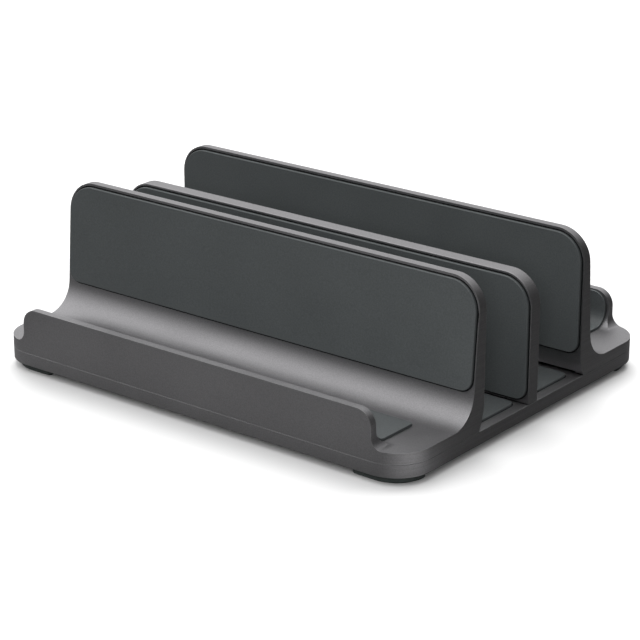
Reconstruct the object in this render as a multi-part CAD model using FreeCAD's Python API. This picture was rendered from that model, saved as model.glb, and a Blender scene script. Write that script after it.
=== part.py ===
import FreeCAD, Part
import math
import os
from FreeCAD import Vector

# A two-slot vertical stand for laptops, with a shallow trough along its front and its back.
# Everything is in millimetres. +X runs to the right, +Y to the back and +Z up. The origin is
# on the table, under the middle of the base. "Outer" means away from the central divider.
# The front dock is modelled first, and the rear dock is its mirror image in the XZ plane.

# Overall sizes
LENGTH = 201.0
DEPTH = 161.0
CORNER_RADIUS = 15.0
FOOT_HEIGHT = 3.0
BASE_THICKNESS = 5.25
BASE_CHAMFER = 0.25

# Docks: J-shaped aluminium sections with a tall wall, a trough floor and a low lip
DOCK_DEPTH = 47.9
DOCK_HEIGHT = 58.25
DOCK_TRAVEL = 14.0
FLOOR_THICKNESS = 4.45
LIP_HEIGHT = 18.75
LIP_THICKNESS = 3.05
LIP_HALF_LENGTH = 85.5
LIP_TOP_CORNER_RADIUS = 6.5
LIP_END_RADIUS = 4.5
LIP_FILLET = 6.5
WALL_TOP_THICKNESS = 3.4
WALL_LEAN_DEGREES = 4.2
WALL_FILLET = 12.0
WALL_END_RADIUS = 12.4
UNDERCUT_HEIGHT = 5.0
UNDERCUT_DEPTH = 2.8
UNDERCUT_RADIUS = 20.0
EDGE_RADIUS = 0.35

# Central divider
DIVIDER_THICKNESS = 5.9
DIVIDER_HEIGHT = 50.35

# Silicone pads. The upright ones sit in shallow seats that are milled into the walls.
PAD_PROUD = 1.0
PAD_EDGE_RADIUS = 0.35
PAD_SIDE_INSET = 1.1
PAD_TOP_INSET = 1.5
PAD_TOP_CORNER = WALL_END_RADIUS - PAD_SIDE_INSET
PAD_BOTTOM_CORNER = 4.8
SEAT_DEPTH = 0.8
SEAT_GAP = 0.6
SLOT_PAD_BOTTOM = 9.35
DIVIDER_PAD_BOTTOM = 1.5
OUTER_PAD_ABOVE_FILLET = 0.6
TROUGH_PAD_THICKNESS = 1.0
TROUGH_PAD_HALF_LENGTH = 84.2
TROUGH_PAD_END = 27.2
TROUGH_PAD_END_CORNER = 1.5
TROUGH_PAD_TOP = 18.2
TROUGH_PAD_CORNER = 5.8
FLOOR_PAD_HALF_LENGTH = 96.0
FLOOR_PAD_OUTER_EDGE = 49.1
FLOOR_PAD_INNER_GAP = 1.2
FLOOR_PAD_CORNER = 3.0
FLOOR_PAD_RECESS = 0.5
FLOOR_PAD_PROUD = 0.9
RECESS_GAP = 0.3
POCKET_HEIGHT = 1.1
POCKET_HALF_LENGTH = 97.0
POCKET_START = 34.0

# Feet: soft corner pads glued into recesses under the base
FOOT_LENGTH = 23.0
FOOT_WIDTH = 14.0
FOOT_INSET = 2.6
FOOT_INNER_CORNER = 1.5
FOOT_RECESS = 0.8
FOOT_EDGE_RADIUS = 0.5

# Lock screws: M4 button heads from beneath, through slots in the base, into the dock floor
LOCK_SCREW_X = 60.0
LOCK_SCREW_FROM_OUTER_FACE = 20.0
M4_RADIUS = 2.0
M4_HEAD_RADIUS = 3.8
M4_HEAD_HEIGHT = 2.2
M4_SCREW_LENGTH = 6.0
M4_HEX = 2.5
M4_HEX_DEPTH = 1.3
M4_SLOT_RADIUS = 2.25
M4_TAPPED_RADIUS = 2.03
M4_TAPPED_DEPTH = 3.7
WASHER_RADIUS = 4.5
WASHER_HOLE_RADIUS = 2.15
WASHER_THICKNESS = 0.8
COUNTERBORE_RADIUS = 4.8
COUNTERBORE_DEPTH = 3.2

# Divider screws: M3 countersunk, from beneath into the divider's bottom edge
DIVIDER_SCREW_X = (-60.0, 0.0, 60.0)
M3_RADIUS = 1.5
M3_HEAD_RADIUS = 2.95
M3_HEAD_SINK = 0.2
M3_SCREW_LENGTH = 10.0
M3_HEX = 2.0
M3_HEX_DEPTH = 1.0
M3_CLEARANCE_RADIUS = 1.7
M3_TAPPED_RADIUS = 1.53
M3_TAPPED_DEPTH = 5.8
COUNTERSINK_RADIUS = 3.2

# Levels and places worked out from the sizes above
HALF_LENGTH = LENGTH / 2
HALF_DEPTH = DEPTH / 2
BASE_TOP = FOOT_HEIGHT + BASE_THICKNESS
FLOOR_TOP = BASE_TOP + FLOOR_THICKNESS
LIP_TOP = BASE_TOP + LIP_HEIGHT
DOCK_TOP = BASE_TOP + DOCK_HEIGHT
DIVIDER_TOP = BASE_TOP + DIVIDER_HEIGHT
LEAN = math.radians(WALL_LEAN_DEGREES)
HALF_DIVIDER = DIVIDER_THICKNESS / 2
WALL_FOOT_OFFSET = (DOCK_TOP - FLOOR_TOP) * math.tan(LEAN)
FLOOR_END = DOCK_DEPTH - WALL_TOP_THICKNESS - WALL_FOOT_OFFSET
FILLET_START = FLOOR_END - WALL_FILLET * math.tan(math.pi / 4 - LEAN / 2)
TALL = 200.0


def front(outer_distance):
    """Y of a plane of the front dock, given its distance from the dock's outer face."""
    return outer_distance - HALF_DEPTH


def mirrored(shape):
    """The same piece on the rear dock."""
    return shape.mirror(Vector(0, 0, 0), Vector(0, 1, 0))


def rounded_face(corners):
    """A flat face from (point, radius) corners, each rounded by its radius."""
    tangents = []
    for i, (point, radius) in enumerate(corners):
        to_last = (corners[i - 1][0] - point).normalize()
        to_next = (corners[(i + 1) % len(corners)][0] - point).normalize()
        half_angle = to_last.getAngle(to_next) / 2
        cut = radius / math.tan(half_angle)
        inward = (to_last + to_next).normalize()
        middle = point + inward * (radius / math.sin(half_angle) - radius)
        tangents.append((point + to_last * cut, middle, point + to_next * cut, radius))
    edges = []
    for i, (start, middle, end, radius) in enumerate(tangents):
        if radius > 0:
            edges.append(Part.Arc(start, middle, end).toShape())
        next_start = tangents[(i + 1) % len(tangents)][0]
        if end.distanceToPoint(next_start) > 1e-6:
            edges.append(Part.makeLine(end, next_start))
    return Part.Face(Part.Wire(edges))


def plan_prism(half_x, y_low, y_high, radii, z_low, height):
    """An upright block with a rounded rectangular plan; radii start at the left front corner."""
    corners = [
        (Vector(-half_x, y_low, z_low), radii[0]),
        (Vector(half_x, y_low, z_low), radii[1]),
        (Vector(half_x, y_high, z_low), radii[2]),
        (Vector(-half_x, y_high, z_low), radii[3]),
    ]
    return rounded_face(corners).extrude(Vector(0, 0, height))


def front_prism(outline, y_low, y_high):
    """A block whose outline of ((x, z), radius) corners is seen from the front."""
    corners = [(Vector(x, y_low, z), radius) for (x, z), radius in outline]
    return rounded_face(corners).extrude(Vector(0, y_high - y_low, 0))


def soften(shape, is_wanted, radius):
    """The shape with the edges rounded for which is_wanted says yes."""
    return shape.makeFillet(radius, [edge for edge in shape.Edges if is_wanted(edge.BoundBox)])


def obround(x, y_first, y_last, radius, z_low, height):
    """A slot cutter along Y with round ends centred on y_first and y_last."""
    corners = [
        (Vector(x - radius, y_first - radius, z_low), radius * 0.999),
        (Vector(x + radius, y_first - radius, z_low), radius * 0.999),
        (Vector(x + radius, y_last + radius, z_low), radius * 0.999),
        (Vector(x - radius, y_last + radius, z_low), radius * 0.999),
    ]
    return rounded_face(corners).extrude(Vector(0, 0, height))


def hex_socket(across_flats, x, y, z_low, depth):
    """The six-sided recess of a socket screw, open at z_low."""
    corner_radius = across_flats / math.sqrt(3)
    corners = []
    for step in range(7):
        angle = step * math.pi / 3
        corners.append(Vector(x + corner_radius * math.cos(angle), y + corner_radius * math.sin(angle), z_low))
    return Part.Face(Part.makePolygon(corners)).extrude(Vector(0, 0, depth))


def save(name, shape):
    """Writes one node's solids to its own STEP file."""
    shape.exportStep(os.path.join("parts", name + ".step"))
    volume = sum(solid.Volume for solid in shape.Solids)
    print(f"{name}: {len(shape.Solids)} solid(s), {volume:.1f} mm3, valid {shape.isValid()}")


os.makedirs("parts", exist_ok=True)


# Upright pads and their seats. A pad is a slab whose softened face stands proud of the wall;
# its seat is the same slab, grown all round, and it runs on past the face.
def upright_slab(wall_top, z_low, face_y, grow, extra):
    """A slab that faces the front: its face is PAD_PROUD before the wall's face at face_y."""
    half_x = HALF_LENGTH - PAD_SIDE_INSET + grow
    z_high = wall_top - PAD_TOP_INSET + grow
    outline = [
        ((-half_x, z_low - grow), PAD_BOTTOM_CORNER + grow),
        ((-half_x, z_high), PAD_TOP_CORNER + grow),
        ((half_x, z_high), PAD_TOP_CORNER + grow),
        ((half_x, z_low - grow), PAD_BOTTOM_CORNER + grow),
    ]
    return front_prism(outline, face_y - PAD_PROUD - extra, face_y + SEAT_DEPTH)


def upright_pad(wall_top, z_low, face_y):
    pad = upright_slab(wall_top, z_low, face_y, 0, 0)
    return soften(pad, lambda box: box.YMax < face_y - PAD_PROUD + 0.01, PAD_EDGE_RADIUS)


def pad_seat(wall_top, z_low, face_y):
    return upright_slab(wall_top, z_low, face_y, SEAT_GAP, 1)


# The outer face of a dock's wall leans, so what is made upright at the wall's top outer edge is
# then turned about that edge onto the leaning face
OUTER_FACE_TOP_Y = front(DOCK_DEPTH - WALL_TOP_THICKNESS)
OUTER_FILLET_TOP = FLOOR_TOP + WALL_FILLET * (1 - math.sin(LEAN))
OUTER_PAD_BOTTOM = DOCK_TOP - (DOCK_TOP - OUTER_FILLET_TOP) / math.cos(LEAN) + OUTER_PAD_ABOVE_FILLET


def leaned(shape):
    turned = shape.copy()
    turned.rotate(Vector(0, OUTER_FACE_TOP_Y, DOCK_TOP), Vector(1, 0, 0), -WALL_LEAN_DEGREES)
    return turned


REAR_WALL_FACE = HALF_DEPTH - DOCK_DEPTH
SLOT_PAD_LOW = BASE_TOP + SLOT_PAD_BOTTOM
DIVIDER_PAD_LOW = BASE_TOP + DIVIDER_PAD_BOTTOM
outer_pad = leaned(upright_pad(DOCK_TOP, OUTER_PAD_BOTTOM, OUTER_FACE_TOP_Y))
rear_slot_pad = upright_pad(DOCK_TOP, SLOT_PAD_LOW, REAR_WALL_FACE)
divider_front_pad = upright_pad(DIVIDER_TOP, DIVIDER_PAD_LOW, -HALF_DIVIDER)
save("front_wall_outer_pad", outer_pad)
save("rear_wall_outer_pad", mirrored(outer_pad))
save("rear_wall_slot_pad", rear_slot_pad)
save("front_wall_slot_pad", mirrored(rear_slot_pad))
save("divider_front_pad", divider_front_pad)
save("divider_rear_pad", mirrored(divider_front_pad))


# Dock: the J section extruded along X, its ends milled to the wall's and the lip's outlines
# and its outer corners to the base's plan
def dock_section():
    top_face_start = DOCK_DEPTH - WALL_TOP_THICKNESS
    section = [
        ((0, BASE_TOP), 0),
        ((0, LIP_TOP), EDGE_RADIUS),
        ((LIP_THICKNESS, LIP_TOP), EDGE_RADIUS),
        ((LIP_THICKNESS, FLOOR_TOP), LIP_FILLET),
        ((FLOOR_END, FLOOR_TOP), WALL_FILLET),
        ((top_face_start, DOCK_TOP), EDGE_RADIUS),
        ((DOCK_DEPTH, DOCK_TOP), EDGE_RADIUS),
        ((DOCK_DEPTH, BASE_TOP + UNDERCUT_HEIGHT), UNDERCUT_RADIUS),
        ((DOCK_DEPTH - UNDERCUT_DEPTH, BASE_TOP), 0),
    ]
    corners = [(Vector(-HALF_LENGTH, front(y), z), radius) for (y, z), radius in section]
    return rounded_face(corners).extrude(Vector(LENGTH, 0, 0))


def dock_end_outline():
    lip_outline = [
        ((-HALF_LENGTH, BASE_TOP), 0),
        ((-HALF_LENGTH, FLOOR_TOP), 0),
        ((-LIP_HALF_LENGTH, FLOOR_TOP), LIP_END_RADIUS),
        ((-LIP_HALF_LENGTH, LIP_TOP), LIP_TOP_CORNER_RADIUS),
        ((LIP_HALF_LENGTH, LIP_TOP), LIP_TOP_CORNER_RADIUS),
        ((LIP_HALF_LENGTH, FLOOR_TOP), LIP_END_RADIUS),
        ((HALF_LENGTH, FLOOR_TOP), 0),
        ((HALF_LENGTH, BASE_TOP), 0),
    ]
    wall_outline = [
        ((-HALF_LENGTH, BASE_TOP), 0),
        ((-HALF_LENGTH, DOCK_TOP), WALL_END_RADIUS),
        ((HALF_LENGTH, DOCK_TOP), WALL_END_RADIUS),
        ((HALF_LENGTH, BASE_TOP), 0),
    ]
    lip_part = front_prism(lip_outline, front(-1), front(FILLET_START))
    wall_part = front_prism(wall_outline, front(FILLET_START), front(DOCK_DEPTH + 1))
    return lip_part.fuse(wall_part)


def make_dock():
    radii = [CORNER_RADIUS] * 4
    plan = plan_prism(HALF_LENGTH, -HALF_DEPTH, HALF_DEPTH, radii, 0, TALL)
    dock = dock_section().common(dock_end_outline()).common(plan)
    pocket = plan_prism(
        POCKET_HALF_LENGTH,
        front(POCKET_START),
        front(DOCK_DEPTH + 1),
        [2, 2, 0, 0],
        BASE_TOP,
        POCKET_HEIGHT,
    )
    dock = dock.cut(pocket)
    dock = dock.cut(leaned(pad_seat(DOCK_TOP, OUTER_PAD_BOTTOM, OUTER_FACE_TOP_Y)))
    dock = dock.cut(mirrored(pad_seat(DOCK_TOP, SLOT_PAD_LOW, REAR_WALL_FACE)))
    for x in (-LOCK_SCREW_X, LOCK_SCREW_X):
        place = Vector(x, front(LOCK_SCREW_FROM_OUTER_FACE), BASE_TOP)
        dock = dock.cut(Part.makeCylinder(M4_TAPPED_RADIUS, M4_TAPPED_DEPTH, place))
    return dock


front_dock = make_dock()
save("front_dock", front_dock)
save("rear_dock", mirrored(front_dock))


# Divider: a flat bar that stands across the middle of the base
def make_divider():
    outline = [
        ((-HALF_LENGTH, BASE_TOP), 0),
        ((-HALF_LENGTH, DIVIDER_TOP), WALL_END_RADIUS),
        ((HALF_LENGTH, DIVIDER_TOP), WALL_END_RADIUS),
        ((HALF_LENGTH, BASE_TOP), 0),
    ]
    divider = front_prism(outline, -HALF_DIVIDER, HALF_DIVIDER)
    divider = soften(divider, lambda box: box.YLength < 0.01 and box.ZMax > BASE_TOP + 0.1, EDGE_RADIUS)
    seat = pad_seat(DIVIDER_TOP, DIVIDER_PAD_LOW, -HALF_DIVIDER)
    divider = divider.cut(seat).cut(mirrored(seat))
    for x in DIVIDER_SCREW_X:
        divider = divider.cut(Part.makeCylinder(M3_TAPPED_RADIUS, M3_TAPPED_DEPTH, Vector(x, 0, BASE_TOP)))
    return divider


save("divider_wall", make_divider())


# Base plate: slots and counterbores for the lock screws, countersinks for the divider's
# screws, and shallow recesses for the floor pads and the feet
FLOOR_PAD_FRONT = front(FLOOR_PAD_OUTER_EDGE)
FLOOR_PAD_BACK = -HALF_DIVIDER - PAD_PROUD - FLOOR_PAD_INNER_GAP


def floor_pad(grow, z_low, height):
    """The front slot's floor pad, or its recess when it is grown by a little."""
    return plan_prism(
        FLOOR_PAD_HALF_LENGTH + grow,
        FLOOR_PAD_FRONT - grow,
        FLOOR_PAD_BACK + grow,
        [FLOOR_PAD_CORNER + grow] * 4,
        z_low,
        height,
    )


def foot(x_side, y_side, grow, z_low, height):
    """One corner foot, or its recess; x_side and y_side are -1 or 1."""
    x_outer = HALF_LENGTH - FOOT_INSET + grow
    y_outer = HALF_DEPTH - FOOT_INSET + grow
    x_inner = x_outer - FOOT_LENGTH - 2 * grow
    y_inner = y_outer - FOOT_WIDTH - 2 * grow
    outer_radius = CORNER_RADIUS - FOOT_INSET + grow
    inner_radius = FOOT_INNER_CORNER + grow
    corners = [
        (Vector(x_side * x_inner, y_side * y_inner, z_low), inner_radius),
        (Vector(x_side * x_outer, y_side * y_inner, z_low), inner_radius),
        (Vector(x_side * x_outer, y_side * y_outer, z_low), outer_radius),
        (Vector(x_side * x_inner, y_side * y_outer, z_low), inner_radius),
    ]
    return rounded_face(corners).extrude(Vector(0, 0, height))


def lock_screw_slot(x):
    y_first = front(LOCK_SCREW_FROM_OUTER_FACE)
    y_last = y_first + DOCK_TRAVEL
    slot = obround(x, y_first, y_last, M4_SLOT_RADIUS, 0, TALL)
    counterbore = obround(x, y_first, y_last, COUNTERBORE_RADIUS, 0, FOOT_HEIGHT + COUNTERBORE_DEPTH)
    return slot.fuse(counterbore)


def divider_screw_hole(x):
    hole = Part.makeCylinder(M3_CLEARANCE_RADIUS, TALL, Vector(x, 0, 0))
    depth = COUNTERSINK_RADIUS - M3_CLEARANCE_RADIUS
    cone = Part.makeCone(COUNTERSINK_RADIUS, M3_CLEARANCE_RADIUS, depth, Vector(x, 0, FOOT_HEIGHT))
    return hole.fuse(cone)


def make_base():
    radii = [CORNER_RADIUS] * 4
    base = plan_prism(HALF_LENGTH, -HALF_DEPTH, HALF_DEPTH, radii, FOOT_HEIGHT, BASE_THICKNESS)
    flat_edges = [edge for edge in base.Edges if edge.BoundBox.ZLength < 0.01]
    base = base.makeChamfer(BASE_CHAMFER, flat_edges)
    pad_recess = floor_pad(RECESS_GAP, BASE_TOP - FLOOR_PAD_RECESS, TALL)
    base = base.cut(pad_recess).cut(mirrored(pad_recess))
    for x_side in (-1, 1):
        for y_side in (-1, 1):
            base = base.cut(foot(x_side, y_side, RECESS_GAP, 0, FOOT_HEIGHT + FOOT_RECESS))
        slot = lock_screw_slot(x_side * LOCK_SCREW_X)
        base = base.cut(slot).cut(mirrored(slot))
    for x in DIVIDER_SCREW_X:
        base = base.cut(divider_screw_hole(x))
    return base


save("base_plate", make_base())


# Slot floor pads, one in each laptop slot
floor_pad_height = FLOOR_PAD_RECESS + FLOOR_PAD_PROUD
front_floor_pad = floor_pad(0, BASE_TOP - FLOOR_PAD_RECESS, floor_pad_height)
floor_pad_top = BASE_TOP + FLOOR_PAD_PROUD
front_floor_pad = soften(front_floor_pad, lambda box: box.ZMin > floor_pad_top - 0.01, PAD_EDGE_RADIUS)
save("front_slot_floor_pad", front_floor_pad)
save("rear_slot_floor_pad", mirrored(front_floor_pad))


# Trough pads: one strip that covers the lip's inner face, its fillet and the trough floor
def make_trough_pad():
    inside = LIP_THICKNESS + TROUGH_PAD_THICKNESS
    top = BASE_TOP + TROUGH_PAD_TOP
    strip_top = FLOOR_TOP + TROUGH_PAD_THICKNESS
    section = [
        ((LIP_THICKNESS, FLOOR_TOP), LIP_FILLET + 0.1),
        ((TROUGH_PAD_END, FLOOR_TOP), 0),
        ((TROUGH_PAD_END, strip_top), 0.4),
        ((inside, strip_top), LIP_FILLET + 0.1 - TROUGH_PAD_THICKNESS),
        ((inside, top), 0.4),
        ((LIP_THICKNESS, top), 0),
    ]
    start = -TROUGH_PAD_HALF_LENGTH
    corners = [(Vector(start, front(y), z), radius) for (y, z), radius in section]
    strip = rounded_face(corners).extrude(Vector(2 * TROUGH_PAD_HALF_LENGTH, 0, 0))
    outline = [
        ((-TROUGH_PAD_HALF_LENGTH, BASE_TOP), 0),
        ((-TROUGH_PAD_HALF_LENGTH, top), TROUGH_PAD_CORNER),
        ((TROUGH_PAD_HALF_LENGTH, top), TROUGH_PAD_CORNER),
        ((TROUGH_PAD_HALF_LENGTH, BASE_TOP), 0),
    ]
    strip = strip.common(front_prism(outline, front(0), front(DOCK_DEPTH)))
    radii = [0, 0, TROUGH_PAD_END_CORNER, TROUGH_PAD_END_CORNER]
    end = front(TROUGH_PAD_END)
    return strip.common(plan_prism(TROUGH_PAD_HALF_LENGTH, front(0), end, radii, 0, TALL))


trough_pad = make_trough_pad()
save("front_trough_pad", trough_pad)
save("rear_trough_pad", mirrored(trough_pad))


# Feet
def make_foot(x_side, y_side):
    pad = foot(x_side, y_side, 0, 0, FOOT_HEIGHT + FOOT_RECESS)
    return soften(pad, lambda box: box.ZMax < 0.01, FOOT_EDGE_RADIUS)


for y_name, y_side in (("front", -1), ("rear", 1)):
    for x_name, x_side in (("left", -1), ("right", 1)):
        save(f"foot_{y_name}_{x_name}", make_foot(x_side, y_side))


# Lock screws and their washers, under the front dock; the rear ones are mirrored
def lock_screw(x, y):
    seat = FOOT_HEIGHT + COUNTERBORE_DEPTH - WASHER_THICKNESS
    head = Part.makeCylinder(M4_HEAD_RADIUS, M4_HEAD_HEIGHT, Vector(x, y, seat - M4_HEAD_HEIGHT))
    head = soften(head, lambda box: box.ZMax < seat - M4_HEAD_HEIGHT + 0.01, M4_HEAD_HEIGHT * 0.6)
    shank = Part.makeCylinder(M4_RADIUS, M4_SCREW_LENGTH, Vector(x, y, seat))
    screw = head.fuse(shank)
    return screw.cut(hex_socket(M4_HEX, x, y, seat - M4_HEAD_HEIGHT, M4_HEX_DEPTH))


def lock_washer(x, y):
    z_low = FOOT_HEIGHT + COUNTERBORE_DEPTH - WASHER_THICKNESS
    ring = Part.makeCylinder(WASHER_RADIUS, WASHER_THICKNESS, Vector(x, y, z_low))
    return ring.cut(Part.makeCylinder(WASHER_HOLE_RADIUS, WASHER_THICKNESS, Vector(x, y, z_low)))


lock_y = front(LOCK_SCREW_FROM_OUTER_FACE)
lock_screws = Part.makeCompound([lock_screw(x, lock_y) for x in (-LOCK_SCREW_X, LOCK_SCREW_X)])
lock_washers = Part.makeCompound([lock_washer(x, lock_y) for x in (-LOCK_SCREW_X, LOCK_SCREW_X)])
save("front_lock_screws", lock_screws)
save("front_lock_washers", lock_washers)
save("rear_lock_screws", mirrored(lock_screws))
save("rear_lock_washers", mirrored(lock_washers))


# Divider screws
def divider_screw(x):
    head_bottom = FOOT_HEIGHT + M3_HEAD_SINK
    cone_height = M3_HEAD_RADIUS - M3_RADIUS
    cone = Part.makeCone(M3_HEAD_RADIUS, M3_RADIUS, cone_height, Vector(x, 0, head_bottom))
    shank_length = M3_SCREW_LENGTH - cone_height
    shank = Part.makeCylinder(M3_RADIUS, shank_length, Vector(x, 0, head_bottom + cone_height))
    return cone.fuse(shank).cut(hex_socket(M3_HEX, x, 0, head_bottom, M3_HEX_DEPTH))


save("divider_screws", Part.makeCompound([divider_screw(x) for x in DIVIDER_SCREW_X]))
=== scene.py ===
import math

import bmesh
import bpy
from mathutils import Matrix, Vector


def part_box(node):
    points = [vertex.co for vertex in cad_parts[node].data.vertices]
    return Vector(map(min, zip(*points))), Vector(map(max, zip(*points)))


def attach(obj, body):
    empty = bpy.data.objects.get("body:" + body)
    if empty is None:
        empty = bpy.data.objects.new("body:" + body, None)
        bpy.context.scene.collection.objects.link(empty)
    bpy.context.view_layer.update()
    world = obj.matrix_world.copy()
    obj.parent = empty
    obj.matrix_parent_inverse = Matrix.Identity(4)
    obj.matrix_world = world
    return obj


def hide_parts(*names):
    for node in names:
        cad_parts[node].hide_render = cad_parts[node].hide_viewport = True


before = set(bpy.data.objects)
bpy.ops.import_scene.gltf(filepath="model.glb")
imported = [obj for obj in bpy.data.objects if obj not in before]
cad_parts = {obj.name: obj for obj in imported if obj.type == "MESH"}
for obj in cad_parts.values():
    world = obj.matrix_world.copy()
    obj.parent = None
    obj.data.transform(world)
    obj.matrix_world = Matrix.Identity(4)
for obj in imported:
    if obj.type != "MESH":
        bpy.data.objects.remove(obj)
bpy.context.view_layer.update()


# Base plate: a rounded plate of aluminium, about five millimetres thick. Its edges are chamfered,
# it is slotted and countersunk for the screws from beneath, fine blasted and then anodised grey.
# Shallow recesses locate the silicone floor pads on top and the feet below.
def flat_outline(corners, to_space, segments=10):
    """One flat face. Each corner is (across, along, radius), and to_space turns it into a point."""
    shape = bmesh.new()
    points = [shape.verts.new(to_space(across, along)) for across, along, radius in corners]
    shape.faces.new(points)
    places = [point.co.copy() for point in points]
    for i, (across, along, radius) in enumerate(corners):
        if radius > 0:
            to_last = places[i - 1] - places[i]
            to_next = places[(i + 1) % len(places)] - places[i]
            reach = radius / math.tan(to_last.angle(to_next) / 2)
            bmesh.ops.bevel(
                shape, geom=[points[i]], offset=reach, offset_type="OFFSET", segments=segments,
                profile=0.5, affect="VERTICES", material=-1,
            )
    return shape


def extrude_to(shape, step):
    """Pulls a flat face along a step into a closed block whose faces point outwards."""
    pulled = bmesh.ops.extrude_face_region(shape, geom=shape.faces[:])
    moved = [item for item in pulled["geom"] if isinstance(item, bmesh.types.BMVert)]
    bmesh.ops.translate(shape, vec=step, verts=moved)
    bmesh.ops.recalc_face_normals(shape, faces=shape.faces[:])
    return shape


def plan_block(corners, low, high, segments=10):
    """An upright block with that plan, from one height to another."""
    shape = flat_outline(corners, lambda x, y: (x, y, low), segments)
    return extrude_to(shape, (0, 0, high - low))


def rectangle(x_low, x_high, y_low, y_high, radius):
    """The corners of a rounded rectangle."""
    return [
        (x_low, y_low, radius),
        (x_high, y_low, radius),
        (x_high, y_high, radius),
        (x_low, y_high, radius),
    ]


def round_edges(shape, wanted, radius, segments=3):
    """Rounds the edges whose two ends both pass a test."""
    edges = [edge for edge in shape.edges if all(wanted(vert.co) for vert in edge.verts)]
    bmesh.ops.bevel(
        shape, geom=edges, offset=radius, offset_type="OFFSET", segments=segments,
        profile=0.5, affect="EDGES", material=-1, clamp_overlap=True,
    )
    return shape


def as_piece(name, shape):
    """A scene object made from a finished shape."""
    mesh = bpy.data.meshes.new(name)
    shape.to_mesh(mesh)
    shape.free()
    piece = bpy.data.objects.new(name, mesh)
    bpy.context.scene.collection.objects.link(piece)
    return piece


def settle(piece):
    """Turns what a piece's modifiers make into its own mesh."""
    evaluated = piece.evaluated_get(bpy.context.evaluated_depsgraph_get())
    finished = bpy.data.meshes.new_from_object(evaluated)
    piece.modifiers.clear()
    piece.data = finished
    finished.name = piece.name


def machine(piece, tools, operation="DIFFERENCE"):
    """Cuts the tools' shapes out of a piece, or keeps only what is inside them."""
    for tool in tools:
        cutter = as_piece("cutter", tool)
        cut = piece.modifiers.new("cut", "BOOLEAN")
        cut.operation = operation
        cut.solver = "EXACT"
        cut.object = cutter
        settle(piece)
        bpy.data.objects.remove(cutter)


def smooth(piece, sharp_degrees=32):
    """Shades a piece smooth, except at sharp edges, with its broad faces shaded flat."""
    for face in piece.data.polygons:
        face.use_smooth = True
    piece.data.set_sharp_from_angle(angle=math.radians(sharp_degrees))
    level = piece.modifiers.new("level", "WEIGHTED_NORMAL")
    level.weight = 100
    level.keep_sharp = True
    settle(piece)


def fit(piece, body, slot_name, material, *nodes):
    """Gives a piece its finish, its body and the CAD nodes that it stands for."""
    piece.data.materials.clear()
    piece.data.materials.append(material)
    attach(piece, body)
    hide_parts(*nodes)


def place(tree, kind, inputs=(), **settings):
    """A shader node with its settings made and its inputs set or linked."""
    made = tree.nodes.new(kind)
    for setting, value in settings.items():
        setattr(made, setting, value)
    for socket, value in dict(inputs).items():
        if isinstance(value, bpy.types.NodeSocket):
            tree.links.new(value, made.inputs[socket])
        else:
            made.inputs[socket].default_value = value
    return made


def new_group(name, takes, gives):
    """An empty shader node group with named number inputs and outputs."""
    group = bpy.data.node_groups.new(name, "ShaderNodeTree")
    for label, value in takes:
        socket = group.interface.new_socket(label, in_out="INPUT", socket_type="NodeSocketFloat")
        socket.default_value = value
    for label in gives:
        group.interface.new_socket(label, in_out="OUTPUT", socket_type="NodeSocketFloat")
    return group, place(group, "NodeGroupInput"), place(group, "NodeGroupOutput")


def make_grain_group():
    """Fine random grain: a height for the bump and a slow drift in tone across the piece."""
    takes = [("Grain Scale", 2500.0), ("Drift Scale", 40.0)]
    group, taken, given = new_group("fine_grain", takes, ["Height", "Speckle", "Drift"])
    where = place(group, "ShaderNodeTexCoord").outputs["Object"]
    fine = place(group, "ShaderNodeTexNoise", {
        "Vector": where,
        "Scale": taken.outputs["Grain Scale"],
        "Detail": 3.0,
        "Roughness": 0.65,
    })
    slow = place(group, "ShaderNodeTexNoise", {
        "Vector": where,
        "Scale": taken.outputs["Drift Scale"],
        "Detail": 4.0,
        "Roughness": 0.5,
    })
    speckle = place(group, "ShaderNodeMapRange", {
        "Value": fine.outputs["Fac"],
        "From Min": 0.35,
        "From Max": 0.65,
    })
    drift = place(group, "ShaderNodeMapRange", {
        "Value": slow.outputs["Fac"],
        "From Min": 0.3,
        "From Max": 0.7,
    })
    group.links.new(fine.outputs["Fac"], given.inputs["Height"])
    group.links.new(speckle.outputs["Result"], given.inputs["Speckle"])
    group.links.new(drift.outputs["Result"], given.inputs["Drift"])
    return group


def make_edge_wear_and_highlight_group():
    """A mask of the outside edges, where handling polishes the finish and a lighter tone is laid on as a
    painted edge highlight, broken up by noise.
    """
    group, taken, given = new_group("edge_wear_and_highlight", [("Width", 0.0006), ("Breakup Scale", 300.0)], ["Mask"])
    geometry = place(group, "ShaderNodeNewGeometry")
    rounded = place(group, "ShaderNodeBevel", {"Radius": taken.outputs["Width"]}, samples=6)
    alike = place(group, "ShaderNodeVectorMath", operation="DOT_PRODUCT")
    group.links.new(geometry.outputs["Normal"], alike.inputs[0])
    group.links.new(rounded.outputs["Normal"], alike.inputs[1])
    turned = place(group, "ShaderNodeMapRange", {
        "Value": alike.outputs["Value"],
        "From Min": 0.995,
        "From Max": 0.88,
    })
    where = place(group, "ShaderNodeTexCoord").outputs["Object"]
    patches = place(group, "ShaderNodeTexNoise", {
        "Vector": where,
        "Scale": taken.outputs["Breakup Scale"],
        "Detail": 3.0,
    })
    kept = place(group, "ShaderNodeMapRange", {
        "Value": patches.outputs["Fac"],
        "From Min": 0.35,
        "From Max": 0.7,
        "To Min": 0.35,
    })
    mask = place(group, "ShaderNodeMath", operation="MULTIPLY", use_clamp=True)
    group.links.new(turned.outputs["Result"], mask.inputs[0])
    group.links.new(kept.outputs["Result"], mask.inputs[1])
    group.links.new(mask.outputs["Value"], given.inputs["Mask"])
    return group


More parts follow.
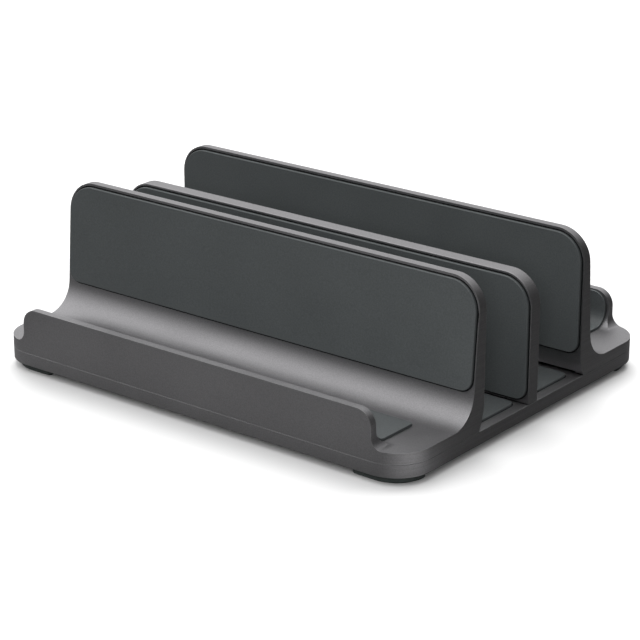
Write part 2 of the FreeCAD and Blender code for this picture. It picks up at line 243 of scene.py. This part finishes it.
def make_painted_gap_shade_group():
    """A mask of painted shade: it fades towards nothing down in narrow gaps, to darken the colour there
    as shade would.
    """
    group, taken, given = new_group("painted_gap_shade", [("Reach", 0.0014)], ["Mask"])
    shade = place(group, "ShaderNodeAmbientOcclusion", {
        "Distance": taken.outputs["Reach"],
    }, samples=8)
    mask = place(group, "ShaderNodeMapRange", {
        "Value": shade.outputs["AO"],
        "From Min": 0.30,
        "From Max": 0.62,
        "To Min": 0.12,
    })
    group.links.new(mask.outputs["Result"], given.inputs["Mask"])
    return group


def make_cutter_group():
    """The fine level lines that the milling cutter leaves on the upright ends and edges."""
    group, taken, given = new_group("cutter_lines", [("Line Scale", 2200.0)], ["Height", "Mask"])
    where = place(group, "ShaderNodeTexCoord").outputs["Object"]
    stretch = place(group, "ShaderNodeCombineXYZ", {
        "X": 12.0,
        "Y": 12.0,
        "Z": taken.outputs["Line Scale"],
    })
    along = place(group, "ShaderNodeVectorMath", {
        0: where,
        1: stretch.outputs["Vector"],
    }, operation="MULTIPLY")
    lines = place(group, "ShaderNodeTexNoise", {
        "Vector": along.outputs["Vector"],
        "Scale": 1.0,
        "Detail": 2.0,
        "Roughness": 0.6,
    })
    facing = place(group, "ShaderNodeSeparateXYZ", {
        "Vector": place(group, "ShaderNodeNewGeometry").outputs["Normal"],
    })
    endwise = place(group, "ShaderNodeMath", {0: facing.outputs["X"]}, operation="ABSOLUTE")
    level = place(group, "ShaderNodeMath", {0: facing.outputs["Z"]}, operation="ABSOLUTE")
    ends = place(group, "ShaderNodeMapRange", {
        "Value": endwise.outputs["Value"],
        "From Min": 0.1,
        "From Max": 0.4,
    })
    upright = place(group, "ShaderNodeMapRange", {
        "Value": level.outputs["Value"],
        "From Min": 0.4,
        "From Max": 0.2,
    })
    mask = place(group, "ShaderNodeMath", {
        0: ends.outputs["Result"],
        1: upright.outputs["Result"],
    }, operation="MULTIPLY")
    group.links.new(lines.outputs["Fac"], given.inputs["Height"])
    group.links.new(mask.outputs["Value"], given.inputs["Mask"])
    return group


grain_group = make_grain_group()
edge_wear_and_highlight_group = make_edge_wear_and_highlight_group()
painted_gap_shade_group = make_painted_gap_shade_group()
cutter_group = make_cutter_group()


def surface(name, tones, edge_tone, rough, edge_rough, bump, grain_scale=2500.0, metallic=0.0):
    """A finish whose colour and roughness vary with the grain, whose edges are worn and lighter, partly
    as a painted highlight, and whose colour is darkened in narrow gaps as painted shade.

    tones are the darkest and lightest colours, rough the smoothest and roughest values, and bump
    the height of the grain in metres.
    """
    material = bpy.data.materials.new(name)
    material.use_nodes = True
    tree = material.node_tree
    shader = tree.nodes["Principled BSDF"]
    grain = place(tree, "ShaderNodeGroup", node_tree=grain_group)
    grain.inputs["Grain Scale"].default_value = grain_scale
    wear_and_highlight = place(tree, "ShaderNodeGroup", node_tree=edge_wear_and_highlight_group)
    speckled = place(tree, "ShaderNodeMix", {"Factor": grain.outputs["Speckle"]}, data_type="RGBA")
    speckled.inputs["A"].default_value = (*tones[0], 1)
    speckled.inputs["B"].default_value = (*tones[1], 1)
    drifted = place(tree, "ShaderNodeHueSaturation", {"Color": speckled.outputs["Result"]})
    lift = place(tree, "ShaderNodeMapRange", {
        "Value": grain.outputs["Drift"],
        "To Min": 0.96,
        "To Max": 1.04,
    })
    tree.links.new(lift.outputs["Result"], drifted.inputs["Value"])
    # Edge wear and painted highlight: the outside edges take the lighter edge tone.
    worn_and_highlit = place(tree, "ShaderNodeMix", {
        "Factor": wear_and_highlight.outputs["Mask"],
        "A": drifted.outputs["Color"],
    }, data_type="RGBA")
    worn_and_highlit.inputs["B"].default_value = (*edge_tone, 1)
    # Painted shade: an occlusion mask darkens the colour down in narrow gaps and where parts meet.
    painted_gap_shade = place(tree, "ShaderNodeGroup", node_tree=painted_gap_shade_group)
    shaded = place(tree, "ShaderNodeHueSaturation", {
        "Color": worn_and_highlit.outputs["Result"],
        "Value": painted_gap_shade.outputs["Mask"],
    })
    tree.links.new(shaded.outputs["Color"], shader.inputs["Base Color"])
    matt = place(tree, "ShaderNodeMapRange", {
        "Value": grain.outputs["Drift"],
        "To Min": rough[0],
        "To Max": rough[1],
    })
    polished = place(tree, "ShaderNodeMix", {
        "Factor": wear_and_highlight.outputs["Mask"],
        "A": matt.outputs["Result"],
        "B": edge_rough,
    })
    tree.links.new(polished.outputs["Result"], shader.inputs["Roughness"])
    relief = place(tree, "ShaderNodeBump", {
        "Height": grain.outputs["Height"],
        "Distance": bump,
        "Strength": 1.0,
    })
    tree.links.new(relief.outputs["Normal"], shader.inputs["Normal"])
    shader.inputs["Metallic"].default_value = metallic
    return material


blasted_aluminium = surface(
    "space_grey_blasted_aluminium",
    tones=((0.257, 0.253, 0.261), (0.317, 0.313, 0.321)),
    edge_tone=(0.38, 0.38, 0.39),
    rough=(0.48, 0.55),
    edge_rough=0.40,
    bump=0.00002,
    metallic=1.0,
)


def add_cutter_lines(material, depth, contrast):
    """Lays the cutter's lines over a finish, as relief and as a faint streaking of its colour."""
    tree = material.node_tree
    shader = tree.nodes["Principled BSDF"]
    lines = place(tree, "ShaderNodeGroup", node_tree=cutter_group)
    relief = place(tree, "ShaderNodeBump", {
        "Height": lines.outputs["Height"],
        "Strength": lines.outputs["Mask"],
        "Distance": depth,
        "Normal": shader.inputs["Normal"].links[0].from_socket,
    })
    tree.links.new(relief.outputs["Normal"], shader.inputs["Normal"])
    streak = place(tree, "ShaderNodeMapRange", {
        "Value": lines.outputs["Height"],
        "From Min": 0.3,
        "From Max": 0.7,
        "To Min": 1 - contrast,
        "To Max": 1 + contrast,
    })
    amount = place(tree, "ShaderNodeMix", {
        "Factor": lines.outputs["Mask"],
        "A": 1.0,
        "B": streak.outputs["Result"],
    })
    tinted = place(tree, "ShaderNodeHueSaturation", {
        "Color": shader.inputs["Base Color"].links[0].from_socket,
        "Value": amount.outputs["Result"],
    })
    tree.links.new(tinted.outputs["Color"], shader.inputs["Base Color"])


add_cutter_lines(blasted_aluminium, 0.00001, 0.10)

base_low, base_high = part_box("base_plate")
corner_radius = 0.015
plate_chamfer = 0.00025

plate_plan = rectangle(base_low.x, base_high.x, base_low.y, base_high.y, corner_radius)
plate = plan_block(plate_plan, base_low.z, base_high.z, 24)
plate_faces = (base_low.z, base_high.z)
round_edges(plate, lambda p: min(abs(p.z - z) for z in plate_faces) < 1e-6, plate_chamfer, 3)
base_plate = as_piece("base_plate_visual", plate)

recess_gap = 0.0003
recess_radius = 0.0033
plate_tools = []
for pad_name in ("front_slot_floor_pad", "rear_slot_floor_pad"):
    low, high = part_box(pad_name)
    x_low, x_high = low.x - recess_gap, high.x + recess_gap
    y_low, y_high = low.y - recess_gap, high.y + recess_gap
    outline = rectangle(x_low, x_high, y_low, y_high, recess_radius)
    plate_tools.append(plan_block(outline, low.z, high.z))

foot_inner_radius = 0.0015
foot_outer_radius = 0.0124


def foot_outline(low, high, grow):
    """A foot's plan: its outer corner follows the base's corner, and the others are tighter."""
    x_low, x_high, y_low, y_high = low.x - grow, high.x + grow, low.y - grow, high.y + grow
    corners = []
    for x, y in ((x_low, y_low), (x_high, y_low), (x_high, y_high), (x_low, y_high)):
        outside = abs(x) > 0.09 and abs(y) > 0.07
        corners.append((x, y, (foot_outer_radius if outside else foot_inner_radius) + grow))
    return corners


foot_names = [f"foot_{end}_{side}" for end in ("front", "rear") for side in ("left", "right")]
for foot_name in foot_names:
    low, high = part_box(foot_name)
    plate_tools.append(plan_block(foot_outline(low, high, recess_gap), low.z, high.z))

slot_radius = 0.00225
counterbore_radius = 0.0048
dock_travel = 0.014
for end in ("front", "rear"):
    low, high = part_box(f"{end}_lock_washers")
    screw_y = (low.y + high.y) / 2
    inward = dock_travel if end == "front" else -dock_travel
    y_low, y_high = sorted((screw_y, screw_y + inward))
    for screw_x in (low.x + (high.y - low.y) / 2, high.x - (high.y - low.y) / 2):
        for radius, top in ((slot_radius, base_high.z + 0.001), (counterbore_radius, high.z)):
            x_low, x_high = screw_x - radius, screw_x + radius
            outline = rectangle(x_low, x_high, y_low - radius, y_high + radius, radius * 0.999)
            plate_tools.append(plan_block(outline, base_low.z - 0.001, top))

countersink_radius = 0.0032
countersink_depth = 0.0015
divider_screw_places = (-0.06, 0.0, 0.06)
for screw_x in divider_screw_places:
    cone = bmesh.new()
    bmesh.ops.create_cone(
        cone, cap_ends=True, segments=32, radius1=countersink_radius + 0.0005,
        radius2=countersink_radius - countersink_depth, depth=countersink_depth + 0.0005,
    )
    cone_height = base_low.z + (countersink_depth - 0.0005) / 2
    bmesh.ops.translate(cone, vec=(screw_x, 0, cone_height), verts=cone.verts)
    plate_tools.append(cone)

machine(base_plate, plate_tools)
smooth(base_plate)
fit(base_plate, "base", "grey_aluminium", blasted_aluminium, "base_plate")


# Docks: two lengths of the same J-shaped aluminium extrusion, one turned round. The lip's ends
# and the wall's corners are milled, the outer corners follow the base, and all edges are softened
# before blasting and anodising. Each slides on the base and is clamped by two screws from beneath.
dock_low, dock_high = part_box("front_dock")
floor_top = dock_low.z + 0.00445
lip_top = dock_low.z + 0.01875
lip_thickness = 0.00305
lip_half_length = 0.0855
wall_top_thickness = 0.0034
wall_lean = math.radians(4.2)
wall_fillet = 0.012
wall_end_radius = 0.0124
pocket_half_length = 0.097
pocket_from = 0.034
pocket_depth = 0.0011
softened = 0.00035
spare = 0.002


def dock_section():
    """The J section, left oversize where the end outlines and the plan trim it."""
    wall_outer_top = dock_high.y - wall_top_thickness + spare * math.tan(wall_lean)
    wall_drop = dock_high.z - floor_top
    wall_outer_foot = dock_high.y - wall_top_thickness - wall_drop * math.tan(wall_lean)
    corners = [
        (dock_low.y - spare, dock_low.z, 0),
        (dock_low.y - spare, lip_top + spare, 0),
        (dock_low.y + lip_thickness, lip_top + spare, 0),
        (dock_low.y + lip_thickness, floor_top, 0.0065),
        (wall_outer_foot, floor_top, wall_fillet),
        (wall_outer_top, dock_high.z + spare, 0),
        (dock_high.y, dock_high.z + spare, 0),
        (dock_high.y, dock_low.z + 0.005, 0.020),
        (dock_high.y - 0.0028, dock_low.z, 0),
    ]
    shape = flat_outline(corners, lambda y, z: (dock_low.x - spare, y, z), 14)
    return extrude_to(shape, (dock_high.x - dock_low.x + 2 * spare, 0, 0))


def front_block(corners, near, far, segments=10):
    """A block whose outline is seen from the front, from one depth to another."""
    shape = flat_outline(corners, lambda x, z: (x, near, z), segments)
    return extrude_to(shape, (0, far - near, 0))


def dock_outline():
    """The outline that the ends are milled to: the wall's behind, and the lip's in front."""
    wall = [
        (dock_low.x, dock_low.z - spare, 0),
        (dock_high.x, dock_low.z - spare, 0),
        (dock_high.x, dock_high.z, wall_end_radius),
        (dock_low.x, dock_high.z, wall_end_radius),
    ]
    return front_block(wall, dock_low.y - 2 * spare, dock_high.y + spare, 16)


def lip_cutter(side):
    """What the mill takes away beyond one end of the lip and above it."""
    end = side * lip_half_length
    corners = [
        (side * (dock_high.x + spare), floor_top, 0),
        (end, floor_top, 0.0045),
        (end, lip_top, 0.0065),
        (0, lip_top, 0),
        (0, lip_top + 2 * spare, 0),
        (side * (dock_high.x + spare), lip_top + 2 * spare, 0),
    ]
    return front_block(corners, dock_low.y - 2 * spare, dock_low.y + 0.0295)


def soften_edges(piece, width, segments=3, sharp_degrees=32):
    """The small radius that blasting and tumbling leave on every sharp edge."""
    edge = piece.modifiers.new("edge", "BEVEL")
    edge.width = width
    edge.segments = segments
    edge.limit_method = "ANGLE"
    edge.angle_limit = math.radians(sharp_degrees)
    edge.miter_outer = "MITER_ARC"
    settle(piece)
    smooth(piece)


pad_proud = 0.001
pad_top_corner = 0.0113
pad_bottom_corner = 0.0048
seat_gap = 0.0006
seat_depth = 0.0008
hinge = Vector((0, dock_high.y - wall_top_thickness, dock_high.z))
outer_fillet_top = floor_top + wall_fillet * (1 - math.sin(wall_lean))
outer_pad_top = dock_high.z - 0.0015
outer_pad_bottom = hinge.z - (hinge.z - outer_fillet_top) / math.cos(wall_lean) + 0.0006


def upright_slab(low, high, near, far, grow):
    """A pad's outline, or its seat's when it is grown by a little, from one depth to another."""
    corners = [
        (low.x - grow, low.z - grow, pad_bottom_corner + grow),
        (high.x + grow, low.z - grow, pad_bottom_corner + grow),
        (high.x + grow, high.z + grow, pad_top_corner + grow),
        (low.x - grow, high.z + grow, pad_top_corner + grow),
    ]
    return front_block(corners, near, far, 14)


def leaned(shape):
    """Turns an upright shape about the wall's top outer edge onto its leaning face."""
    tilt = Vector((0, 0, 1)).rotation_difference(Vector((0, math.sin(wall_lean), math.cos(wall_lean))))
    bmesh.ops.rotate(shape, cent=hinge, matrix=tilt.to_matrix(), verts=shape.verts)
    return shape


def pad_seats():
    """The shallow seats for the pads on both faces of the dock's wall."""
    slot_low, slot_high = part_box("front_wall_slot_pad")
    slot_seat = upright_slab(slot_low, slot_high, slot_low.y, slot_high.y + 0.001, seat_gap)
    low, high = Vector((slot_low.x, 0, outer_pad_bottom)), Vector((slot_high.x, 0, outer_pad_top))
    outer_seat = upright_slab(low, high, hinge.y - pad_proud - 0.001, hinge.y + seat_depth, seat_gap)
    return [slot_seat, leaned(outer_seat)]


def make_dock(name):
    """The front dock, cut from its section and milled."""
    dock = as_piece(name, dock_section())
    plan = rectangle(dock_low.x, dock_high.x, dock_low.y, -dock_low.y, corner_radius)
    plan_tool = plan_block(plan, dock_low.z - spare, dock_high.z + 2 * spare, 24)
    machine(dock, [plan_tool, dock_outline()], "INTERSECT")
    pocket_near, pocket_far = dock_low.y + pocket_from, dock_high.y + spare
    pocket_plan = rectangle(-pocket_half_length, pocket_half_length, pocket_near, pocket_far, 0)
    pocket = plan_block(pocket_plan, dock_low.z - spare, dock_low.z + pocket_depth)
    machine(dock, [lip_cutter(-1), lip_cutter(1), pocket])
    soften_edges(dock, softened)
    machine(dock, pad_seats())
    smooth(dock)
    return dock


def mirrored_piece(piece, name):
    """The same piece for the rear dock, mirrored front to back."""
    shape = bmesh.new()
    shape.from_mesh(piece.data)
    bmesh.ops.scale(shape, vec=(1, -1, 1), verts=shape.verts)
    bmesh.ops.reverse_faces(shape, faces=shape.faces[:])
    copy = as_piece(name, shape)
    smooth(copy)
    return copy


front_dock = make_dock("front_dock_visual")
rear_dock = mirrored_piece(front_dock, "rear_dock_visual")
fit(front_dock, "front_dock", "grey_aluminium", blasted_aluminium, "front_dock")
fit(rear_dock, "rear_dock", "grey_aluminium", blasted_aluminium, "rear_dock")


# Divider: a flat bar of the same aluminium, stood on edge across the middle of the base. Its
# upper corners are rounded like the docks' walls, and three countersunk screws hold it.
divider_low, divider_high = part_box("divider_wall")
divider_outline = [
    (divider_low.x, divider_low.z, 0),
    (divider_high.x, divider_low.z, 0),
    (divider_high.x, divider_high.z, wall_end_radius),
    (divider_low.x, divider_high.z, wall_end_radius),
]
bar = front_block(divider_outline, divider_low.y, divider_high.y, 16)
divider = as_piece("divider_wall_visual", bar)
soften_edges(divider, softened)
for pad_name, outward in (("divider_front_pad", -0.001), ("divider_rear_pad", 0.001)):
    low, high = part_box(pad_name)
    near, far = sorted((low.y if outward > 0 else high.y, (high.y if outward > 0 else low.y) + outward))
    machine(divider, [upright_slab(low, high, near, far, seat_gap)])
smooth(divider)
fit(divider, "base", "grey_aluminium", blasted_aluminium, "divider_wall")


# Upright pads: moulded silicone pads, nearly two millimetres thick, glued into shallow milled
# seats on both faces of the docks' walls and of the divider. Their exposed edges are rounded.
grey_silicone = surface(
    "grey_silicone_sheet",
    tones=((0.070, 0.077, 0.079), (0.091, 0.100, 0.102)),
    edge_tone=(0.11, 0.12, 0.122),
    rough=(0.50, 0.60),
    edge_rough=0.46,
    bump=0.00003,
    grain_scale=1800.0,
)
pad_edge = 0.00035


def upright_pad(low, high, face_y):
    """A sheet in an upright plane whose side at face_y shows and is softened all round."""
    shape = upright_slab(low, high, low.y, high.y, 0)
    return round_edges(shape, lambda p: abs(p.y - face_y) < 1e-6, pad_edge)


for end, body in (("front", "front_dock"), ("rear", "rear_dock")):
    low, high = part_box(f"{end}_wall_slot_pad")
    face_y = high.y if end == "front" else low.y
    pad = as_piece(f"{end}_wall_slot_pad_visual", upright_pad(low, high, face_y))
    smooth(pad)
    fit(pad, body, "grey_silicone", grey_silicone, f"{end}_wall_slot_pad")
    low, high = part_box(f"divider_{end}_pad")
    face_y = low.y if end == "front" else high.y
    pad = as_piece(f"divider_{end}_pad_visual", upright_pad(low, high, face_y))
    smooth(pad)
    fit(pad, "base", "grey_silicone", grey_silicone, f"divider_{end}_pad")


def leaning_pad(name):
    """The front dock's outer pad, made upright and then leaned onto the wall's outer face."""
    low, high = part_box("front_wall_outer_pad")
    low = Vector((low.x, hinge.y - pad_proud, outer_pad_bottom))
    high = Vector((high.x, hinge.y + seat_depth, outer_pad_top))
    pad = as_piece(name, leaned(upright_pad(low, high, low.y)))
    smooth(pad)
    return pad


front_outer_pad = leaning_pad("front_wall_outer_pad_visual")
rear_outer_pad = mirrored_piece(front_outer_pad, "rear_wall_outer_pad_visual")
fit(front_outer_pad, "front_dock", "grey_silicone", grey_silicone, "front_wall_outer_pad")
fit(rear_outer_pad, "rear_dock", "grey_silicone", grey_silicone, "rear_wall_outer_pad")


# Trough pads: one silicone strip in each trough, moulded to run up the lip's inner face, round
# its fillet and along the floor, so that a phone or tablet stands on it without a scratch.
def make_trough_pad(name):
    """The front trough's strip: its bent section, trimmed by its outlines from the front and above."""
    low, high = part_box("front_trough_pad")
    thickness = 0.001
    strip_top = floor_top + thickness
    inside = low.y + thickness
    section = [
        (low.y, floor_top, 0.0066),
        (high.y, floor_top, 0),
        (high.y, strip_top, 0),
        (inside, strip_top, 0.0056),
        (inside, high.z, 0),
        (low.y, high.z, 0),
    ]
    shape = flat_outline(section, lambda y, z: (low.x, y, z), 10)
    pad = as_piece(name, extrude_to(shape, (high.x - low.x, 0, 0)))
    outline = [
        (low.x, low.z - spare, 0),
        (high.x, low.z - spare, 0),
        (high.x, high.z, 0.0058),
        (low.x, high.z, 0.0058),
    ]
    plan = [
        (low.x, low.y - spare, 0),
        (high.x, low.y - spare, 0),
        (high.x, high.y, 0.0015),
        (low.x, high.y, 0.0015),
    ]
    end_tool = front_block(outline, low.y - spare, high.y + spare)
    plan_tool = plan_block(plan, low.z - spare, high.z + spare)
    machine(pad, [end_tool, plan_tool], "INTERSECT")
    soften_edges(pad, 0.00025, 2)
    return pad


front_trough_pad = make_trough_pad("front_trough_pad_visual")
rear_trough_pad = mirrored_piece(front_trough_pad, "rear_trough_pad_visual")
fit(front_trough_pad, "front_dock", "grey_silicone", grey_silicone, "front_trough_pad")
fit(rear_trough_pad, "rear_dock", "grey_silicone", grey_silicone, "rear_trough_pad")


# Slot floor pads: grey silicone sheets, moulded with a rounded upper edge. One is glued into a
# shallow recess of the base under each laptop, and stands a little proud of it.
for end in ("front", "rear"):
    low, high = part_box(f"{end}_slot_floor_pad")
    shape = plan_block(rectangle(low.x, high.x, low.y, high.y, 0.003), low.z, high.z)
    round_edges(shape, lambda p: abs(p.z - high.z) < 1e-6, pad_edge)
    pad = as_piece(f"{end}_slot_floor_pad_visual", shape)
    smooth(pad)
    fit(pad, "base", "grey_silicone", grey_silicone, f"{end}_slot_floor_pad")


# Feet: dark silicone corner pads, moulded with a rounded lower edge and a shallow dish that
# grips the desk, and glued into recesses under the base.
dark_silicone = surface(
    "dark_silicone_foot",
    tones=((0.045, 0.055, 0.052), (0.064, 0.075, 0.072)),
    edge_tone=(0.09, 0.102, 0.098),
    rough=(0.60, 0.72),
    edge_rough=0.55,
    bump=0.00004,
    grain_scale=1500.0,
)
for foot_name in foot_names:
    low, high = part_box(foot_name)
    shape = plan_block(foot_outline(low, high, 0), low.z, high.z, 14)
    round_edges(shape, lambda p: abs(p.z - low.z) < 1e-6, 0.0005)
    sole = min(shape.faces, key=lambda face: face.calc_center_median().z)
    bmesh.ops.inset_region(shape, faces=[sole], thickness=0.0007)
    bmesh.ops.inset_region(shape, faces=[sole], thickness=0.0002)
    bmesh.ops.translate(shape, vec=(0, 0, 0.0003), verts=sole.verts[:])
    foot = as_piece(f"{foot_name}_visual", shape)
    smooth(foot)
    fit(foot, "base", "dark_silicone", dark_silicone, foot_name)


# Lock screws: M4 button heads of blackened steel with a hex socket, turned and tapped up into
# the docks from beneath. Each bears on a punched, zinc-plated washer in the base's slot.
black_steel = surface(
    "blackened_screw_steel",
    tones=((0.035, 0.035, 0.038), (0.060, 0.060, 0.064)),
    edge_tone=(0.22, 0.22, 0.23),
    rough=(0.30, 0.42),
    edge_rough=0.25,
    bump=0.00001,
    metallic=1.0,
)
zinc_plate = surface(
    "zinc_plated_washer",
    tones=((0.50, 0.51, 0.53), (0.62, 0.63, 0.65)),
    edge_tone=(0.72, 0.73, 0.74),
    rough=(0.25, 0.40),
    edge_rough=0.22,
    bump=0.00001,
    metallic=1.0,
)


def turn(profile, x, y, steps=40):
    """A turned part: a profile of (radius, height) points spun about an upright axis."""
    shape = bmesh.new()
    points = [shape.verts.new((x + radius, y, height)) for radius, height in profile]
    line = [shape.edges.new(pair) for pair in zip(points, points[1:])]
    bmesh.ops.spin(
        shape, geom=points + line, cent=(x, y, 0), axis=(0, 0, 1), dvec=(0, 0, 0),
        angle=2 * math.pi, steps=steps, use_merge=True, use_duplicate=False,
    )
    bmesh.ops.remove_doubles(shape, verts=shape.verts, dist=1e-6)
    bmesh.ops.recalc_face_normals(shape, faces=shape.faces)
    return shape


def hex_tool(across_flats, x, y, low, high):
    """The shape of a hex key's tip."""
    shape = bmesh.new()
    bmesh.ops.create_circle(shape, cap_ends=True, segments=6, radius=across_flats / math.sqrt(3))
    bmesh.ops.translate(shape, vec=(x, y, low), verts=shape.verts)
    return extrude_to(shape, (0, 0, high - low))


def join(name, pieces):
    """One object from several loose ones."""
    shape = bmesh.new()
    for piece in pieces:
        shape.from_mesh(piece.data)
        bpy.data.objects.remove(piece)
    joined = as_piece(name, shape)
    smooth(joined)
    return joined


def lock_screw(x, y, low, seat, high):
    """One button-head screw: its head from low up to its seat, and its shank up to high."""
    head_radius = 0.0038
    shank_radius = 0.002
    tip = 0.0003
    rise = seat - low
    profile = [(0, low)]
    for turned in (0.45, 0.7, 0.95, 1.2, 1.4, math.pi / 2):
        dome = seat - rise * 0.25 - rise * 0.75 * math.cos(turned)
        profile.append((head_radius * math.sin(turned), dome))
    profile += [(head_radius, seat), (shank_radius, seat)]
    profile += [(shank_radius, high - tip), (shank_radius - tip, high), (0, high)]
    screw = as_piece("screw", turn(profile, x, y))
    machine(screw, [hex_tool(0.0025, x, y, low - 0.001, low + 0.0013)])
    return screw


washer_bore = 0.00215
washer_edge = 0.00008
for end, body in (("front", "front_dock"), ("rear", "rear_dock")):
    low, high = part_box(f"{end}_lock_washers")
    radius = (high.y - low.y) / 2
    y = (low.y + high.y) / 2
    places = (low.x + radius, high.x - radius)
    ring = [
        (washer_bore, low.z + washer_edge),
        (washer_bore + washer_edge, low.z),
        (radius - washer_edge, low.z),
        (radius, low.z + washer_edge),
        (radius, high.z - washer_edge),
        (radius - washer_edge, high.z),
        (washer_bore + washer_edge, high.z),
        (washer_bore, high.z - washer_edge),
        (washer_bore, low.z + washer_edge),
    ]
    washers = join(f"{end}_lock_washers_visual", [as_piece("washer", turn(ring, x, y)) for x in places])
    fit(washers, body, "washer_steel", zinc_plate, f"{end}_lock_washers")
    screw_low, screw_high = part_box(f"{end}_lock_screws")
    loose_screws = [lock_screw(x, y, screw_low.z, low.z, screw_high.z) for x in places]
    screws = join(f"{end}_lock_screws_visual", loose_screws)
    fit(screws, body, "screw_steel", black_steel, f"{end}_lock_screws")


# Divider screws: three M3 countersunk screws of blackened steel, turned, with a hex socket. They
# lie flush in the base and are driven up into the divider.
def divider_screw(x, low, high):
    """One countersunk screw, whose head is flush at low."""
    head_radius = 0.00295
    shank_radius = 0.0015
    rim = 0.0001
    tip = 0.0003
    neck = low + head_radius - shank_radius
    profile = [(0, low), (head_radius - rim, low), (head_radius, low + rim), (shank_radius, neck)]
    profile += [(shank_radius, high - tip), (shank_radius - tip, high), (0, high)]
    screw = as_piece("screw", turn(profile, x, 0))
    machine(screw, [hex_tool(0.002, x, 0, low - 0.001, low + 0.001)])
    return screw


screw_low, screw_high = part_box("divider_screws")
loose_screws = [divider_screw(x, screw_low.z, screw_high.z) for x in divider_screw_places]
divider_screws = join("divider_screws_visual", loose_screws)
fit(divider_screws, "base", "screw_steel", black_steel, "divider_screws")


# Floor: a plain white sweep of paper, wide enough to fill the view. Only the camera sees it white:
# reflections and bounced light see painted reflection tones instead, a darker grey that darkens further
# away from the middle, and a painted bright patch by one corner of the base that paints a highlight on
# that corner.
floor_shape = bmesh.new()
bmesh.ops.create_grid(floor_shape, x_segments=1, y_segments=1, size=6.0)
floor = as_piece("floor", floor_shape)
paper = bpy.data.materials.new("white_paper")
paper.use_nodes = True
paper_tree = paper.node_tree
paper_path = place(paper_tree, "ShaderNodeLightPath")
# Painted reflection: rays that are not from the camera see the placed darker tones below instead of the
# white.
paper_tone = place(paper_tree, "ShaderNodeMix", {
    "Factor": paper_path.outputs["Is Camera Ray"],
}, data_type="RGBA")
paper_spot = place(paper_tree, "ShaderNodeTexCoord").outputs["Object"]
paper_across = place(paper_tree, "ShaderNodeSeparateXYZ", {"Vector": paper_spot})
paper_aside = place(paper_tree, "ShaderNodeMath", {
    0: paper_across.outputs["X"],
    1: -0.02,
}, operation="SUBTRACT")
paper_away = place(paper_tree, "ShaderNodeMath", {
    0: paper_aside.outputs["Value"],
}, operation="ABSOLUTE")
paper_painted_reflection_falloff = place(paper_tree, "ShaderNodeMapRange", {
    "Value": paper_away.outputs["Value"],
    "From Min": 0.08,
    "From Max": 0.16,
    "To Min": 0.21,
    "To Max": 0.06,
})
# Painted highlight: a bright patch, seen only in reflection, that lights the base's front right corner.
corner_distance = place(paper_tree, "ShaderNodeVectorMath", {
    0: paper_spot,
    1: (0.142, -0.088, 0),
}, operation="DISTANCE")
painted_corner_highlight = place(paper_tree, "ShaderNodeMapRange", {
    "Value": corner_distance.outputs["Value"],
    "From Min": 0.055,
    "From Max": 0.01,
    "To Min": 0.0,
    "To Max": 0.8,
})
paper_painted_reflection = place(paper_tree, "ShaderNodeMath", {
    0: paper_painted_reflection_falloff.outputs["Result"],
    1: painted_corner_highlight.outputs["Result"],
})
paper_tree.links.new(paper_painted_reflection.outputs["Value"], paper_tone.inputs["A"])
paper_tone.inputs["B"].default_value = (0.82, 0.82, 0.82, 1)
paper_shader = paper_tree.nodes["Principled BSDF"]
paper_tree.links.new(paper_tone.outputs["Result"], paper_shader.inputs["Base Color"])
paper_shader.inputs["Roughness"].default_value = 0.95
paper_shader.inputs["Specular IOR Level"].default_value = 0.0
floor.data.materials.append(paper)


# Light: a surround that is bright above and to the left and falls off to the right, a broad soft
# lamp above and behind on the left, a weak one beside the camera, and the camera itself.
world = bpy.data.worlds.new("studio")
bpy.context.scene.world = world
world.use_nodes = True
world_tree = world.node_tree
toward = place(world_tree, "ShaderNodeTexCoord").outputs["Generated"]
facing = place(world_tree, "ShaderNodeVectorMath", {
    0: toward,
    1: (-0.45, 0.02, 0.89),
}, operation="DOT_PRODUCT")
glow = place(world_tree, "ShaderNodeMapRange", {
    "Value": facing.outputs["Value"],
    "From Min": 0.26,
    "From Max": 0.89,
    "To Min": 0.05,
    "To Max": 1.8,
})
surround = world_tree.nodes["Background"]
surround.inputs["Color"].default_value = (1.0, 1.0, 1.0, 1)
world_tree.links.new(glow.outputs["Result"], surround.inputs["Strength"])


def soft_lamp(name, where, aim, size, power):
    """A round area lamp, kept out of the metal's reflections."""
    lamp = bpy.data.lights.new(name, "AREA")
    lamp.shape = "DISK"
    lamp.size = size
    lamp.energy = power
    holder = bpy.data.objects.new(name, lamp)
    holder.location = where
    holder.rotation_euler = (Vector(aim) - Vector(where)).to_track_quat("-Z", "Y").to_euler()
    holder.visible_glossy = False
    bpy.context.scene.collection.objects.link(holder)


soft_lamp("key", (-0.34, 0.62, 1.02), (0, 0, 0.02), 1.3, 13.4)
soft_lamp("fill", (0.70, -0.92, 0.50), (0, 0, 0.03), 0.6, 4.6)

camera_data = bpy.data.cameras.new("camera")
camera_data.sensor_width = 36.0
camera_data.lens = 127.87
camera_data.clip_start = 0.01
camera_data.clip_end = 20.0
camera = bpy.data.objects.new("camera", camera_data)
camera.location = (0.5239, -0.6653, 0.3325)
camera.rotation_euler = (math.radians(90 - 20.368), 0, math.radians(38.255))
bpy.context.scene.collection.objects.link(camera)
bpy.context.scene.camera = camera
bpy.context.scene.view_settings.view_transform = "Standard"
